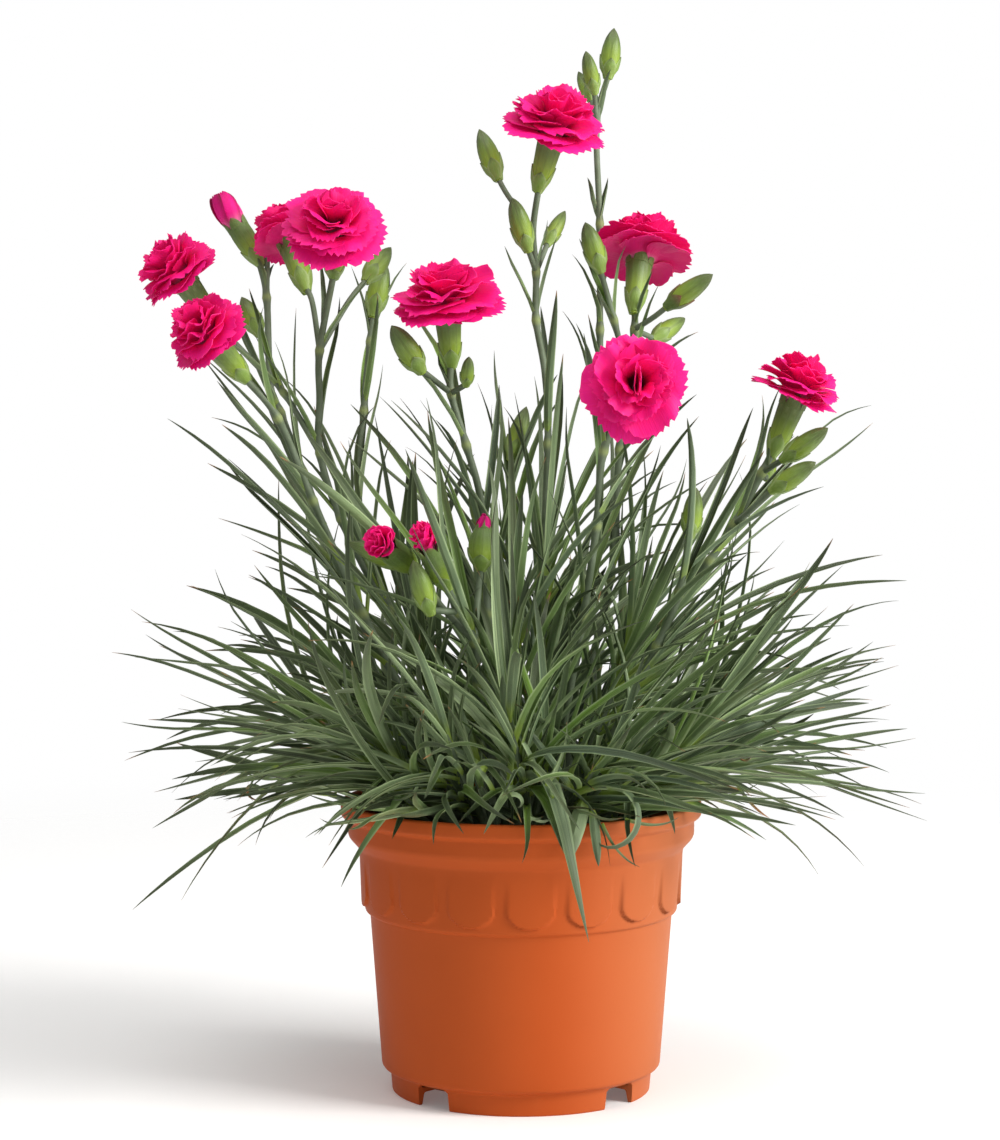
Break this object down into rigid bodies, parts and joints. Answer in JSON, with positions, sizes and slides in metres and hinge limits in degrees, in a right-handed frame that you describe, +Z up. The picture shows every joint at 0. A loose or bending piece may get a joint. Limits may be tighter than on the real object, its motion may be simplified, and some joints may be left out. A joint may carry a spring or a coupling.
{
  "type": "potted dianthus plant",
  "caption": "Bushy tuft of narrow blue-green leaves with upright stems of ruffled pink flowers and buds, in a round tapered plastic pot.",
  "frame": {"origin": "middle of the flat pad under the pot, on the surface it stands on", "axes": "+Z up along the pot's axis; the plant's front, with the lowest small blooms, faces -Y; +X is the viewer's right"},
  "size_m": [0.264, 0.2685, 0.356],
  "materials": {
    "terracotta_plastic": "smooth moulded plastic with a soft sheen",
    "compost": "dark fibrous peat compost",
    "bark": "rough woody bark",
    "leaf": "matt blue-green leaf with a waxy bloom",
    "stem": "matt grey-green stem, calyces and buds",
    "petal": "soft matt petal"
  },
  "bodies": {
    "root": {"pot": "terracotta_plastic", "compost": "compost", "rootstock": "bark", "shoot_01": "leaf", "shoot_02": "leaf", "shoot_03": "leaf", "shoot_04": "leaf", "shoot_05": "leaf", "shoot_06": "leaf", "shoot_07": "leaf", "shoot_08": "leaf", "shoot_09": "leaf", "shoot_10": "leaf", "shoot_11": "leaf", "shoot_12": "leaf", "shoot_13": "leaf", "shoot_14": "leaf", "shoot_15": "leaf", "shoot_16": "leaf", "shoot_17": "leaf", "flower_stem_01": "stem", "flower_stem_02": "stem", "flower_stem_03": "stem", "flower_stem_04": "stem", "flower_stem_05": "stem", "flower_stem_06": "stem", "flower_stem_07": "stem", "flower_stem_08": "stem", "flower_stem_09": "stem", "flower_stem_10": "stem", "flower_stem_11": "stem", "flower_stem_12": "stem", "flower_stem_13": "stem", "bloom_01": "petal", "bloom_02": "petal", "bloom_03": "petal", "bloom_04": "petal", "bloom_05": "petal", "bloom_06": "petal", "bloom_07": "petal", "bloom_08": "petal", "bloom_09": "petal", "bloom_10": "petal", "bloom_11": "petal", "bloom_12": "petal", "bloom_13": "petal"}
  },
  "joints": []
}
